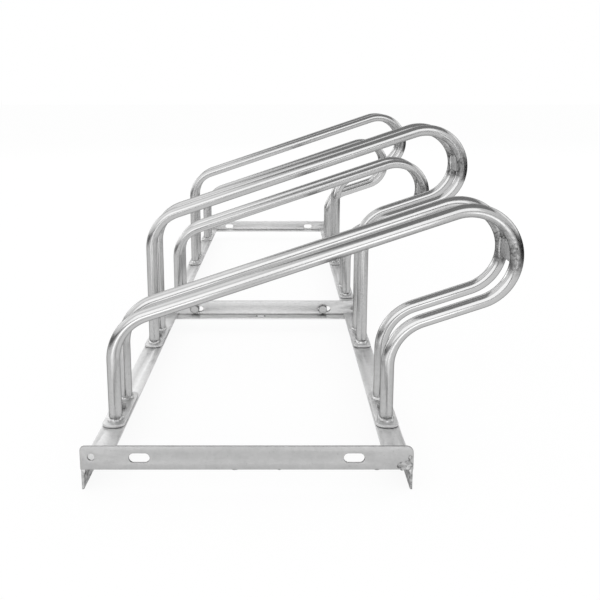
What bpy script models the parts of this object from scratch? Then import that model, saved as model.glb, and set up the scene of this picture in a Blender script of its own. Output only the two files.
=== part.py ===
"""Bicycle rack that stands on the floor: two welded frames of angle iron, bolted end to end, carry paired tube hoops.

Every wheel place is two equal hoops side by side. The wheel rolls in between them from their low side, and the plate
that ties their noses together stops it. Low and high places take turns along the row, so that handlebars clear.

Metres, +Z up. +X points to the noses and +Y runs along the row, from the near frame to the far one. Heights are
counted from the top of the rails until the last step, which stands the rack on the middle of its box's underside.
"""

import math

import bmesh
import bpy
from mathutils import Vector

# The row
NEAR_PLACES = 2
FAR_PLACES = 3
PLACE_PITCH = 0.350
FIT_GAP = 0.0003  # between faces that touch

# Rails: rolled angle, one flange flat on top and the other hanging down at the outer side
FRAME_WIDTH = 0.399
RAIL_FLANGE = 0.032
RAIL_LEG = 0.032
RAIL_WALL = 0.003

# Ends of a frame: a flat plate in front, and an angle behind whose flange lies under the rails
END_HEIGHT = 0.030
END_FLANGE = 0.030
END_WALL = 0.003
END_CORNER_RADIUS = 0.006
NEAR_PLATE_RAISE = 0.0015  # of the first plate, the other one is level with the angle it is bolted to
SLOT_LENGTH = 0.025
SLOT_WIDTH = 0.012
SLOT_FROM_END = 0.071
FRONT_SLOT_HEIGHT = 0.0148  # slot centre above the underside
BACK_SLOT_HEIGHT = 0.0135
EYE_DIAMETER = 0.009
EYE_FROM_END = 0.0135
EYE_HEIGHT = 0.016
ANCHOR_SLOT_LENGTH = 0.020
ANCHOR_SLOT_WIDTH = 0.009
ANCHOR_SLOT_FROM_FACE = 0.0165

# Hoops: one bent tube each
TUBE_DIAMETER = 0.018
TUBE_WALL = 0.002
HOOP_SPACING = 0.076  # between the two centre planes of a pair
RUN_SLOPE = math.radians(18.6)
KNEE_HEIGHT = 0.134  # where a low hoop's left post and upper run would meet, above the rails
HIGH_RAISE = 0.086
KNEE_RADIUS = 0.066
NOSE_RADIUS = 0.062
NOSE_OVERHANG = 0.103  # nose centre beyond the right posts
TUBE_SIDES = 12
BEND_STEP = math.radians(15)

# Flat bar: foot plates under each pair and the plate between its noses
FOOT_WIDTH = 0.030
FOOT_THICKNESS = 0.004
FOOT_OVERHANG = 0.016  # past the tubes at both ends
FOOT_CORNER_RADIUS = 0.011
NOSE_PLATE_WIDTH = 0.025
NOSE_PLATE_THICKNESS = 0.004
NOSE_PLATE_INSET = 0.003  # from the tubes' centre line towards the inside of the hoop
NOSE_PLATE_RAISE = 0.003  # above the middle of the nose

# Foot bolts and the two bolts that join the frames
FOOT_BOLT_DIAMETER = 0.008
FOOT_BOLT_ACROSS = 0.013
FOOT_BOLT_HEAD = 0.0053
FOOT_NUT_HEIGHT = 0.0065
JOINING_BOLT_DIAMETER = 0.010
JOINING_BOLT_ACROSS = 0.016
JOINING_BOLT_HEAD = 0.0064
JOINING_NUT_HEIGHT = 0.008
LEFT_JOINING_SHIFT = -0.005  # of the bolts in their slots
RIGHT_JOINING_SHIFT = -0.003
HOLE_CLEARANCE = 0.001
THREAD_TAIL = 0.0025  # of a bolt past its nut
ROUND_SIDES = 12

# Worked out from the sizes above
POST_X = (FRAME_WIDTH - RAIL_FLANGE) / 2
SLOT_X = FRAME_WIDTH / 2 - SLOT_FROM_END
TUBE_RADIUS = TUBE_DIAMETER / 2
FOOT_LENGTH = HOOP_SPACING + TUBE_DIAMETER + 2 * FOOT_OVERHANG
FOOT_TOP = FIT_GAP + FOOT_THICKNESS
END_BOTTOM = -RAIL_WALL - FIT_GAP - END_WALL
JOINING_HEIGHT = END_BOTTOM + (FRONT_SLOT_HEIGHT + BACK_SLOT_HEIGHT) / 2
Z_AXIS = Vector((0, 0, 1))


def bare_scene():
    """Removes whatever the scene starts with."""
    for item in list(bpy.data.objects):
        bpy.data.objects.remove(item, do_unlink=True)


def steel(name, grey, roughness):
    """Principled material of bare or zinc-coated steel."""
    material = bpy.data.materials.new(name)
    material.use_nodes = True
    shader = material.node_tree.nodes["Principled BSDF"]
    shader.inputs["Base Color"].default_value = (grey, grey, grey * 1.02, 1)
    shader.inputs["Metallic"].default_value = 1
    shader.inputs["Roughness"].default_value = roughness
    return material


def finished_mesh(name, bm, material):
    """Turns a bmesh into a mesh with faces pointing out, smooth over its round sides."""
    bmesh.ops.recalc_face_normals(bm, faces=bm.faces)
    mesh = bpy.data.meshes.new(name)
    bm.to_mesh(mesh)
    bm.free()
    mesh.materials.append(material)
    mesh.shade_smooth()
    mesh.set_sharp_from_angle(angle=math.radians(35))
    return mesh


def add_object(name, mesh, parent=None, location=(0, 0, 0), turn=0.0):
    """Puts a mesh, or an empty if there is none, under its parent, turned about the upright axis."""
    item = bpy.data.objects.new(name, mesh)
    bpy.context.scene.collection.objects.link(item)
    item.parent = parent
    item.location = location
    item.rotation_euler.z = turn
    return item


def arc(centre, radius, start, end, steps):
    """Points of an arc, as pairs, from one angle to the other."""
    return [
        (centre[0] + radius * math.cos(start + (end - start) * i / steps),
         centre[1] + radius * math.sin(start + (end - start) * i / steps))
        for i in range(steps + 1)
    ]


def slot_outline(centre, length, width):
    """Outline of a slot with round ends, its length along the first axis."""
    reach = (length - width) / 2
    right = arc((centre[0] + reach, centre[1]), width / 2, -math.pi / 2, math.pi / 2, ROUND_SIDES // 2)
    left = arc((centre[0] - reach, centre[1]), width / 2, math.pi / 2, 3 * math.pi / 2, ROUND_SIDES // 2)
    return right + left


def round_outline(centre, diameter):
    """Outline of a round hole."""
    return arc(centre, diameter / 2, 0, 2 * math.pi, ROUND_SIDES)[:-1]


def extrude_outline(bm, points, depth):
    """Closed prism on an outline of 3D points, pushed along the depth vector."""
    face = bm.faces.new([bm.verts.new(point) for point in points])
    pushed = bmesh.ops.extrude_face_region(bm, geom=[face])["geom"]
    bmesh.ops.translate(bm, vec=depth, verts=[v for v in pushed if isinstance(v, bmesh.types.BMVert)])


def loft(bm, rings, closed):
    """Skins rings of equally many points; closed joins the last ring to the first, otherwise both ends are capped."""
    loops = [[bm.verts.new(point) for point in ring] for ring in rings]
    pairs = list(zip(loops, loops[1:]))
    if closed:
        pairs.append((loops[-1], loops[0]))
    for one, other in pairs:
        for i in range(len(one)):
            j = (i + 1) % len(one)
            bm.faces.new((one[i], one[j], other[j], other[i]))
    if not closed:
        bm.faces.new(loops[0])
        bm.faces.new(loops[-1])


def cut_mesh(name, body, cutter, material):
    """Mesh of the body with the cutter's shapes taken out of it. Both arrive as bmeshes."""
    whole = add_object(name + "_whole", finished_mesh(name + "_whole", body, material))
    tool = add_object(name + "_cutter", finished_mesh(name + "_cutter", cutter, material))
    tool.hide_render = True
    tool.display_type = "WIRE"
    cut = whole.modifiers.new("cut", "BOOLEAN")
    cut.operation = "DIFFERENCE"
    cut.solver = "EXACT"
    cut.object = tool
    mesh = bpy.data.meshes.new_from_object(whole.evaluated_get(bpy.context.evaluated_depsgraph_get()))
    mesh.name = name
    mesh.shade_smooth()
    mesh.set_sharp_from_angle(angle=math.radians(35))
    bpy.data.objects.remove(whole, do_unlink=True)
    bpy.data.objects.remove(tool, do_unlink=True)
    return mesh


def rail_mesh(places, material):
    """Right-hand rail about the middle of its flange, drilled under every place. Turned round, it is the left one."""
    length = frame_length(places) - 2 * (END_WALL + FIT_GAP)
    inner, outer = -RAIL_FLANGE / 2, RAIL_FLANGE / 2
    section = [
        (inner, 0), (outer, 0), (outer, -RAIL_LEG),
        (outer - RAIL_WALL, -RAIL_LEG), (outer - RAIL_WALL, -RAIL_WALL), (inner, -RAIL_WALL),
    ]
    body = bmesh.new()
    extrude_outline(body, [(x, -length / 2, z) for x, z in section], Vector((0, length, 0)))
    holes = bmesh.new()
    for place in range(places):
        y = place_y(place) - frame_length(places) / 2
        outline = round_outline((0, y), FOOT_BOLT_DIAMETER + HOLE_CLEARANCE)
        extrude_outline(holes, [(hx, hy, -2 * RAIL_WALL) for hx, hy in outline], 3 * RAIL_WALL * Z_AXIS)
    return cut_mesh(f"rail_for_{places}", body, holes, material)


def end_body(section):
    """Bar across a frame's end on its upright section of (y, z) points, its two upper corners rounded."""
    body = bmesh.new()
    extrude_outline(body, [(-FRAME_WIDTH / 2, y, z) for y, z in section], Vector((FRAME_WIDTH, 0, 0)))
    top = END_BOTTOM + END_HEIGHT
    upper = [edge for edge in body.edges if all(abs(v.co.z - top) < 1e-6 for v in edge.verts)]
    corners = [edge for edge in upper if abs(edge.verts[0].co.x - edge.verts[1].co.x) < 1e-6]
    bmesh.ops.recalc_face_normals(body, faces=body.faces)
    bmesh.ops.bevel(body, geom=corners, offset=END_CORNER_RADIUS, segments=3, profile=0.5, affect="EDGES")
    return body


def end_openings(slot_height):
    """Cutters for the two joining slots and the eye of a frame's end."""
    cuts = bmesh.new()
    through = Vector((0, 3 * END_WALL, 0))
    for x in (-SLOT_X, SLOT_X):
        outline = slot_outline((x, END_BOTTOM + slot_height), SLOT_LENGTH, SLOT_WIDTH)
        extrude_outline(cuts, [(sx, -END_WALL, sz) for sx, sz in outline], through)
    outline = round_outline((EYE_FROM_END - FRAME_WIDTH / 2, END_BOTTOM + EYE_HEIGHT), EYE_DIAMETER)
    extrude_outline(cuts, [(ex, -END_WALL, ez) for ex, ez in outline], through)
    return cuts


def front_plate_mesh(material):
    """Flat end plate about the middle of its outer face, which looks to -Y: slotted and drilled."""
    top = END_BOTTOM + END_HEIGHT
    section = [(0, END_BOTTOM), (END_WALL, END_BOTTOM), (END_WALL, top), (0, top)]
    return cut_mesh("front_plate", end_body(section), end_openings(FRONT_SLOT_HEIGHT), material)


def back_angle_mesh(material):
    """End angle about the middle of its outer face, which looks to -Y: notched, slotted and drilled."""
    top = END_BOTTOM + END_HEIGHT
    section = [
        (0, END_BOTTOM), (END_FLANGE, END_BOTTOM), (END_FLANGE, END_BOTTOM + END_WALL),
        (END_WALL, END_BOTTOM + END_WALL), (END_WALL, top), (0, top),
    ]
    cuts = end_openings(BACK_SLOT_HEIGHT)
    outline = slot_outline((0, ANCHOR_SLOT_FROM_FACE), ANCHOR_SLOT_LENGTH, ANCHOR_SLOT_WIDTH)
    extrude_outline(cuts, [(ax, ay, END_BOTTOM - END_WALL) for ax, ay in outline], 3 * END_WALL * Z_AXIS)
    # The flange stops short of the rails' hanging legs, so its ends are notched away beyond them
    notch = FRAME_WIDTH / 2 - RAIL_WALL - FIT_GAP
    for side in (-1, 1):
        corner_points = [(side * notch, END_WALL), (side * FRAME_WIDTH, END_WALL),
                         (side * FRAME_WIDTH, 2 * END_FLANGE), (side * notch, 2 * END_FLANGE)]
        extrude_outline(cuts, [(nx, ny, END_BOTTOM - END_WALL) for nx, ny in corner_points], 3 * END_WALL * Z_AXIS)
    return cut_mesh("back_angle", end_body(section), cuts, material)


def hoop_mesh(name, knee_height, material):
    """Hollow hoop in its own upright plane: post, knee, rising run, nose, run back, knee, post."""
    slope = RUN_SLOPE
    knee_turn = math.pi / 2 - slope
    knee_tangent = KNEE_RADIUS * math.tan(knee_turn / 2)
    along = Vector((math.cos(slope), 0, math.sin(slope)))
    upward = Vector((-math.sin(slope), 0, math.cos(slope)))
    foot = FOOT_TOP + FIT_GAP
    left_knee = Vector((-POST_X, 0, knee_height))
    nose_x = POST_X + NOSE_OVERHANG
    nose_start = left_knee + along * ((nose_x - math.sin(slope) * NOSE_RADIUS + POST_X) / math.cos(slope))
    nose_centre = nose_start - upward * NOSE_RADIUS
    nose_end = nose_start - upward * 2 * NOSE_RADIUS
    right_knee = nose_end - along * ((nose_end.x - POST_X) / math.cos(slope))

    bm = bmesh.new()
    rings = []
    for radius in (TUBE_RADIUS, TUBE_RADIUS - TUBE_WALL):
        points = [(x - POST_X, y, foot) for x, y in arc((0, 0), radius, 0, 2 * math.pi, TUBE_SIDES)[:-1]]
        rings.append([bm.verts.new(point) for point in points])
    for i in range(TUBE_SIDES):
        j = (i + 1) % TUBE_SIDES
        bm.faces.new((rings[0][i], rings[0][j], rings[1][j], rings[1][i]))
    end = bm.verts[:] + bm.edges[:] + bm.faces[:]

    def straight(end, vector):
        pushed = bmesh.ops.extrude_face_region(bm, geom=end)["geom"]
        bmesh.ops.translate(bm, vec=vector, verts=[v for v in pushed if isinstance(v, bmesh.types.BMVert)])
        return pushed

    def bend(end, centre, angle):
        steps = max(2, math.ceil(abs(angle) / BEND_STEP - 1e-6))
        return bmesh.ops.spin(bm, geom=end, cent=centre, axis=(0, 1, 0), angle=angle, steps=steps)["geom_last"]

    end = straight(end, Z_AXIS * (left_knee.z - knee_tangent - foot))
    end = bend(end, left_knee + Vector((KNEE_RADIUS, 0, -knee_tangent)), knee_turn)
    end = straight(end, nose_start - (left_knee + along * knee_tangent))
    end = bend(end, nose_centre, math.pi)
    end = straight(end, (right_knee + along * knee_tangent) - nose_end)
    end = bend(end, right_knee + Vector((KNEE_RADIUS, 0, -knee_tangent)), -knee_turn)
    straight(end, -Z_AXIS * (right_knee.z - knee_tangent - foot))
    return finished_mesh(name, bm, material), nose_centre


def foot_plate_mesh(material):
    """Foot plate of flat bar about its bolt hole, with rounded corners."""
    half_x, half_y, radius = FOOT_WIDTH / 2, FOOT_LENGTH / 2, FOOT_CORNER_RADIUS
    outline = []
    for quarter, (sx, sy) in enumerate(((1, 1), (-1, 1), (-1, -1), (1, -1))):
        centre = (sx * (half_x - radius), sy * (half_y - radius))
        outline += arc(centre, radius, quarter * math.pi / 2, (quarter + 1) * math.pi / 2, 4)
    body = bmesh.new()
    extrude_outline(body, [(x, y, 0) for x, y in outline], FOOT_THICKNESS * Z_AXIS)
    hole = bmesh.new()
    outline = round_outline((0, 0), FOOT_BOLT_DIAMETER + HOLE_CLEARANCE)
    extrude_outline(hole, [(x, y, -FOOT_THICKNESS) for x, y in outline], 3 * FOOT_THICKNESS * Z_AXIS)
    return cut_mesh("foot_plate", body, hole, material)


def nose_plate_mesh(material):
    """Upright piece of flat bar that ties the noses of a pair together."""
    half_x, half_z = NOSE_PLATE_THICKNESS / 2, NOSE_PLATE_WIDTH / 2
    length = HOOP_SPACING - TUBE_DIAMETER - 2 * FIT_GAP
    bm = bmesh.new()
    section = [(-half_x, -half_z), (half_x, -half_z), (half_x, half_z), (-half_x, half_z)]
    extrude_outline(bm, [(x, -length / 2, z) for x, z in section], Vector((0, length, 0)))
    return finished_mesh("nose_plate", bm, material)


def ring(radii, z):
    """Points of one level of a bolt or nut, with a radius for each direction in turn."""
    count = len(radii)
    return [(r * math.cos(2 * math.pi * i / count), r * math.sin(2 * math.pi * i / count), z)
            for i, r in enumerate(radii)]


def hexagon(across):
    """Radii of a hexagon's corners and of the middles of its sides."""
    return [across / 2 / math.cos(math.pi / 6), across / 2] * 6


def bolt_mesh(name, across, head, diameter, shank, material):
    """Hexagon bolt: the head stands on the level z = 0 and the shank hangs from it."""
    bm = bmesh.new()
    round_shank = [diameter / 2] * 12
    loft(bm, [ring(hexagon(across), head), ring(hexagon(across), 0),
              ring(round_shank, 0), ring(round_shank, -shank)], closed=False)
    return finished_mesh(name, bm, material)


def nut_mesh(name, across, height, diameter, material):
    """Hexagon nut that hangs from the level z = 0, its bore running clear of the thread."""
    bm = bmesh.new()
    bore = [diameter / 2 + FIT_GAP] * 12
    loft(bm, [ring(hexagon(across), 0), ring(hexagon(across), -height),
              ring(bore, -height), ring(bore, 0)], closed=True)
    return finished_mesh(name, bm, material)


def frame_length(places):
    """A frame is as long as its places, less the gap at which the next one butts against it."""
    return places * PLACE_PITCH - FIT_GAP


def place_y(place):
    """Middle of a place along its own frame."""
    return (place + 0.5) * PLACE_PITCH


def build_frame(name, root, start, places, rail, front_plate, plate_raise, back_angle):
    """Two rails between a flat plate and an angle."""
    frame = add_object(name, None, root, (0, start, 0))
    middle = frame_length(places) / 2
    add_object(name + "_left_rail", rail, frame, (-POST_X, middle, 0), math.pi)
    add_object(name + "_right_rail", rail, frame, (POST_X, middle, 0))
    add_object(name + "_front_plate", front_plate, frame, (0, 0, plate_raise))
    add_object(name + "_back_angle", back_angle, frame, (0, frame_length(places), 0), math.pi)
    return frame


def build_place(number, frame, y, hoop, nose_centre, pieces):
    """A pair of hoops with its nose plate, its foot plates and the bolts that hold those to the rails."""
    place = add_object(f"place_{number}", None, frame, (0, y, 0))
    for side, name in ((-1, "near_hoop"), (1, "far_hoop")):
        add_object(f"place_{number}_{name}", hoop, place, (0, side * HOOP_SPACING / 2, 0))
    nose_x = nose_centre.x + NOSE_RADIUS - NOSE_PLATE_INSET
    nose_z = nose_centre.z + NOSE_PLATE_RAISE
    add_object(f"place_{number}_nose_plate", pieces["nose_plate"], place, (nose_x, 0, nose_z))
    for x, side in ((-POST_X, "left"), (POST_X, "right")):
        name = f"place_{number}_{side}"
        add_object(name + "_foot_plate", pieces["foot_plate"], place, (x, 0, FIT_GAP))
        add_object(name + "_bolt", pieces["foot_bolt"], place, (x, 0, FOOT_TOP + FIT_GAP))
        add_object(name + "_nut", pieces["foot_nut"], place, (x, 0, -RAIL_WALL - FIT_GAP))


def build_joint(frame, bolt, nut):
    """The two bolts through the slots where the frames meet, their heads on the near frame's side."""
    bolts = (("left", -SLOT_X + LEFT_JOINING_SHIFT), ("right", SLOT_X + RIGHT_JOINING_SHIFT))
    for side, x in bolts:
        in_front = (x, -FIT_GAP - END_WALL - FIT_GAP, JOINING_HEIGHT)
        head = add_object(f"joining_{side}_bolt", bolt, frame, in_front)
        head.rotation_euler.x = math.pi / 2
        back = add_object(f"joining_{side}_nut", nut, frame, (x, END_WALL + FIT_GAP, JOINING_HEIGHT))
        back.rotation_euler.x = math.pi / 2


def stand_on_origin(root):
    """Moves the rack so that the middle of its box's underside is the origin."""
    bpy.context.view_layer.update()
    corners = [
        item.matrix_world @ Vector(corner)
        for item in bpy.context.scene.objects if item.type == "MESH"
        for corner in item.bound_box
    ]
    low = [min(corner[i] for corner in corners) for i in range(3)]
    high = [max(corner[i] for corner in corners) for i in range(3)]
    root.location = (-(low[0] + high[0]) / 2, -(low[1] + high[1]) / 2, -low[2])


def build_rack():
    bare_scene()
    tube_steel = steel("galvanised_tube", 0.62, 0.28)
    angle_steel = steel("galvanised_angle", 0.52, 0.42)
    flat_steel = steel("galvanised_flat_bar", 0.50, 0.45)
    bolt_steel = steel("zinc_plated_fastener", 0.45, 0.38)

    plate, angle = front_plate_mesh(flat_steel), back_angle_mesh(angle_steel)
    low_hoop, low_nose = hoop_mesh("low_hoop", KNEE_HEIGHT, tube_steel)
    high_hoop, high_nose = hoop_mesh("high_hoop", KNEE_HEIGHT + HIGH_RAISE, tube_steel)
    grip = FIT_GAP + FOOT_THICKNESS + FIT_GAP + RAIL_WALL + FIT_GAP
    pieces = {
        "nose_plate": nose_plate_mesh(flat_steel),
        "foot_plate": foot_plate_mesh(flat_steel),
        "foot_bolt": bolt_mesh("foot_bolt", FOOT_BOLT_ACROSS, FOOT_BOLT_HEAD, FOOT_BOLT_DIAMETER,
                               grip + FOOT_NUT_HEIGHT + THREAD_TAIL, bolt_steel),
        "foot_nut": nut_mesh("foot_nut", FOOT_BOLT_ACROSS, FOOT_NUT_HEIGHT, FOOT_BOLT_DIAMETER, bolt_steel),
    }

    root = add_object("rack", None)
    near_rail = rail_mesh(NEAR_PLACES, angle_steel)
    far_rail = rail_mesh(FAR_PLACES, angle_steel)
    near_length = NEAR_PLACES * PLACE_PITCH
    frames = [
        build_frame("near_frame", root, 0, NEAR_PLACES, near_rail, plate, NEAR_PLATE_RAISE, angle),
        build_frame("far_frame", root, near_length, FAR_PLACES, far_rail, plate, 0, angle),
    ]
    number = 0
    for frame, places in zip(frames, (NEAR_PLACES, FAR_PLACES)):
        for place in range(places):
            hoop, nose = (high_hoop, high_nose) if number % 2 else (low_hoop, low_nose)
            number += 1
            build_place(number, frame, place_y(place), hoop, nose, pieces)

    joint_grip = 2 * END_WALL + 3 * FIT_GAP
    build_joint(
        frames[1],
        bolt_mesh("joining_bolt", JOINING_BOLT_ACROSS, JOINING_BOLT_HEAD, JOINING_BOLT_DIAMETER,
                  joint_grip + JOINING_NUT_HEIGHT + THREAD_TAIL, bolt_steel),
        nut_mesh("joining_nut", JOINING_BOLT_ACROSS, JOINING_NUT_HEIGHT, JOINING_BOLT_DIAMETER, bolt_steel),
    )
    stand_on_origin(root)


build_rack()
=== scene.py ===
from itertools import accumulate
from math import atan2, cos, pi, radians, sin, tan
from types import SimpleNamespace

import bmesh
import bpy
from mathutils import Matrix, Vector


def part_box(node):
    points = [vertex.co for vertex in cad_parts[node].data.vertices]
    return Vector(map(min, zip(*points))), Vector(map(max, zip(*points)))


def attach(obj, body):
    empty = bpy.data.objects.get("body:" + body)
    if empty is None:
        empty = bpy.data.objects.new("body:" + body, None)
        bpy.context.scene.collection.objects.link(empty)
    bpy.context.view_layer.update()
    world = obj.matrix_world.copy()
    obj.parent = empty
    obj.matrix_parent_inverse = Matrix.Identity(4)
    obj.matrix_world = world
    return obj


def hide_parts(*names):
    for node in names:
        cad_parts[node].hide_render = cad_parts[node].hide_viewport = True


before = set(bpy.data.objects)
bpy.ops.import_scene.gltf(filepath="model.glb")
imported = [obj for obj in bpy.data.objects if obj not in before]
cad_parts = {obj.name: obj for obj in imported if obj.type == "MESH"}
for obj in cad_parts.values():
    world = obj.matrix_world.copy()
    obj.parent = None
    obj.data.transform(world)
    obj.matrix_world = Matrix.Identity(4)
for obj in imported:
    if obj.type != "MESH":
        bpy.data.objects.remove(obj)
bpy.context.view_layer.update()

# Camera: at the near end of the row, a little above it, looking along the rails.
scene = bpy.context.scene
camera_data = bpy.data.cameras.new("camera")
camera = bpy.data.objects.new("camera", camera_data)
scene.collection.objects.link(camera)
camera.location = (-0.03794, -1.78478, 0.4698)
camera.rotation_euler = (radians(78), 0, 0)
camera_data.lens = 49.19
camera_data.sensor_width = 36
camera_data.shift_x = 0.0316
camera_data.shift_y = -0.0564
camera_data.clip_end = 60
scene.camera = camera

# Studio: a pale matt floor under white surroundings, soft lamps above, dark cards round and over the set,
# and bright ones before and behind the rack. The zinc mirrors all of these, so the cards give it the dark
# and white lines that show how round and smooth it is.
FLOOR_SIZE = 60
FLOOR_GAP = 0.0004  # below the feet
FLOOR_GREY = 0.97
FLOOR_WHITENESS = 0.90  # share of pure white in the floor that the camera and reflections see
WORLD_LIGHT = 0.90
BRIGHT_CARD_GREY = 0.9
JUST_OFF_FLOOR = 0.0002
RACK_MIDDLE = (0, 0, 0.3)
UPRIGHT_ACROSS = (pi / 2, 0, 0)
UPRIGHT_ALONG = (pi / 2, 0, pi / 2)
scene.view_settings.view_transform = "Standard"


def plain_material(name, grey):
    """Matt material of one grey."""
    material = bpy.data.materials.new(name)
    material.use_nodes = True
    shader = material.node_tree.nodes["Principled BSDF"]
    shader.inputs["Base Color"].default_value = (grey, grey, grey, 1)
    shader.inputs["Roughness"].default_value = 1
    shader.inputs["Specular IOR Level"].default_value = 0
    return material


def white_to_the_eye(tree, lit, seen):
    """One value for light that falls on things, another for what the camera and reflections see."""
    path = tree.nodes.new("ShaderNodeLightPath")
    any_of_them = path.outputs["Is Camera Ray"]
    for ray in ("Is Glossy Ray", "Is Transmission Ray"):
        either = tree.nodes.new("ShaderNodeMath")
        either.operation = "MAXIMUM"
        tree.links.new(any_of_them, either.inputs[0])
        tree.links.new(path.outputs[ray], either.inputs[1])
        any_of_them = either.outputs[0]
    value = tree.nodes.new("ShaderNodeMapRange")
    value.inputs["To Min"].default_value = lit
    value.inputs["To Max"].default_value = seen
    tree.links.new(any_of_them, value.inputs["Value"])
    return value.outputs["Result"]


bpy.ops.mesh.primitive_plane_add(size=FLOOR_SIZE, location=(0, 0, -FLOOR_GAP))
floor = bpy.context.object
floor.name = "studio_floor"
floor_material = plain_material("matt_floor", FLOOR_GREY)
tree = floor_material.node_tree
white = tree.nodes.new("ShaderNodeEmission")
mix = tree.nodes.new("ShaderNodeMixShader")
tree.links.new(white_to_the_eye(tree, lit=0.0, seen=FLOOR_WHITENESS), mix.inputs["Fac"])
tree.links.new(tree.nodes["Principled BSDF"].outputs["BSDF"], mix.inputs[1])
tree.links.new(white.outputs["Emission"], mix.inputs[2])
tree.links.new(mix.outputs["Shader"], tree.nodes["Material Output"].inputs["Surface"])
floor.data.materials.append(floor_material)

world = bpy.data.worlds.new("white_studio")
world.use_nodes = True
tree = world.node_tree
tree.nodes["Background"].inputs["Color"].default_value = (1, 1, 1, 1)
strength = white_to_the_eye(tree, lit=WORLD_LIGHT, seen=1.0)
tree.links.new(strength, tree.nodes["Background"].inputs["Strength"])
scene.world = world


def softbox(name, place, target, size, watts):
    """Flat soft lamp that looks at a point."""
    lamp_data = bpy.data.lights.new(name, "AREA")
    lamp_data.shape = "RECTANGLE"
    lamp_data.size, lamp_data.size_y = size
    lamp_data.energy = watts
    lamp = bpy.data.objects.new(name, lamp_data)
    scene.collection.objects.link(lamp)
    lamp.location = place
    lamp.rotation_euler = (Vector(target) - Vector(place)).to_track_quat("-Z", "Y").to_euler()


softbox("softbox_over_the_camera", (-0.9, -4.6, 2.0), RACK_MIDDLE, size=(5.4, 3.2), watts=39)
softbox("softbox_left", (-2.75, -0.3, 2.35), (-1.4, -0.3, 0), size=(2.6, 3.2), watts=8)
softbox("softbox_right", (4.2, 1.5, 2.5), RACK_MIDDLE, size=(5.2, 2.4), watts=30)
softbox("softbox_behind", (-0.6, 4.6, 2.7), RACK_MIDDLE, size=(4.4, 1.8), watts=21)


def studio_card(name, grey, place, size, turn, glow=0):
    """Flat card that only reflections meet: the metal mirrors it as a stripe and no light comes from it."""
    bpy.ops.mesh.primitive_plane_add(size=1, location=place, rotation=turn)
    card = bpy.context.object
    card.name = name
    card.scale = (size[0], size[1], 1)
    material = plain_material(name, grey)
    shader = material.node_tree.nodes["Principled BSDF"]
    shader.inputs["Emission Color"].default_value = (1, 1, 1, 1)
    shader.inputs["Emission Strength"].default_value = glow
    card.data.materials.append(material)
    card.visible_camera = card.visible_diffuse = card.visible_shadow = False


def bright_card(name, glow, place, size, turn):
    """Card that glows white in the reflections."""
    studio_card(name, BRIGHT_CARD_GREY, place, size, turn, glow)


studio_card("dark_card_above", 0.29, (0.80, -0.50, 3.4), (4.0, 5.4), (0, 0, radians(10)))
studio_card("dark_card_left", 0.12, (-2.4, -2.1, 0.28), (5.4, 0.56), UPRIGHT_ALONG)
studio_card("dark_card_left_ahead", 0.02, (-1.5, 2.2, 0.125), (2.4, 0.25), UPRIGHT_ALONG)
studio_card("dark_card_right", 0.02, (1.15, -0.3, 0.225), (4.2, 0.45), UPRIGHT_ALONG)
studio_card("dark_card_ahead", 0.02, (-0.15, 3.4, 0.21), (2.7, 0.42), UPRIGHT_ACROSS)
studio_card("dark_card_behind_camera", 0.10, (-0.6, -4.4, 0.12), (4.0, 0.24), UPRIGHT_ACROSS)
bright_card("bright_card_left", 1.15, (-0.39, -1.69, JUST_OFF_FLOOR), (0.36, 1.2), (0, 0, radians(-7)))
bright_card("bright_card_right", 1.15, (0.24, -1.69, JUST_OFF_FLOOR), (0.32, 1.2), (0, 0, radians(7)))
bright_card("bright_card_behind", 1.55, (-2.6, 2.6, 1.15), (3.0, 1.5), (pi / 2, 0, radians(45)))

# Rails: four lengths of rolled angle, hot-dip galvanised. One flange lies flat on top and carries the
# hoops, the other hangs down at the outer side and stands on the floor. Each is drilled at its wheel places.
RAIL_WALL = 0.003
RAIL_ROOT_RADIUS = 0.0032
RAIL_CORNER_RADIUS = 0.0009
RAIL_TOE_RADIUS = 0.0014
FOOT_BOLT_HOLE = 0.009
PLACES = (1, 2, 3, 4, 5)
TOLERANCE = 1e-5  # lengths that differ by less are the same
MARGIN = 1e-4  # well past rounding, and less than any size


def deselect():
    """Leaves edit mode and lets go of everything."""
    if bpy.context.object and bpy.context.object.mode == "EDIT":
        bpy.ops.object.mode_set(mode="OBJECT")
    bpy.ops.object.select_all(action="DESELECT")


def keep_in_mesh(name, scale=(1, 1, 1)):
    """Names the primitive that was just added and writes its place, turn and scale into its mesh."""
    piece = bpy.context.object
    piece.name = name
    piece.scale = scale
    bpy.ops.object.transform_apply(location=True, rotation=True, scale=True)
    return piece


def middle_of(low, high):
    """Point halfway between two corners."""
    return [(one + other) / 2 for one, other in zip(low, high)]


def block(name, low, high):
    """Cube primitive stretched between two corners."""
    deselect()
    bpy.ops.mesh.primitive_cube_add(size=1, location=middle_of(low, high))
    return keep_in_mesh(name, [top - bottom for bottom, top in zip(low, high)])


def edit(kind):
    """Goes into edit mode on the active piece and selects all of its faces, edges or points."""
    bpy.ops.object.mode_set(mode="EDIT")
    bpy.context.tool_settings.mesh_select_mode = (kind == "verts", kind == "edges", kind == "faces")
    bpy.ops.mesh.select_all(action="SELECT")


def pick(kind, test):
    """Selects the faces, edges or points whose every corner passes the test on its place."""
    bpy.ops.mesh.select_all(action="DESELECT")
    mesh = bmesh.from_edit_mesh(bpy.context.object.data)
    found = 0
    for item in getattr(mesh, kind):
        corners = [item] if kind == "verts" else item.verts
        if all(test(corner.co) for corner in corners):
            item.select_set(True)
            found += 1
    mesh.select_flush_mode()
    bmesh.update_edit_mesh(bpy.context.object.data)
    assert found, "nothing picked on " + bpy.context.object.name


def near(one, other):
    """Whether two lengths are the same, to a hundredth of a millimetre."""
    return abs(one - other) < TOLERANCE


def push(vector):
    """Extrudes the selected faces or edges along a vector."""
    bpy.ops.mesh.extrude_region_move(TRANSFORM_OT_translate={"value": vector})


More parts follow.
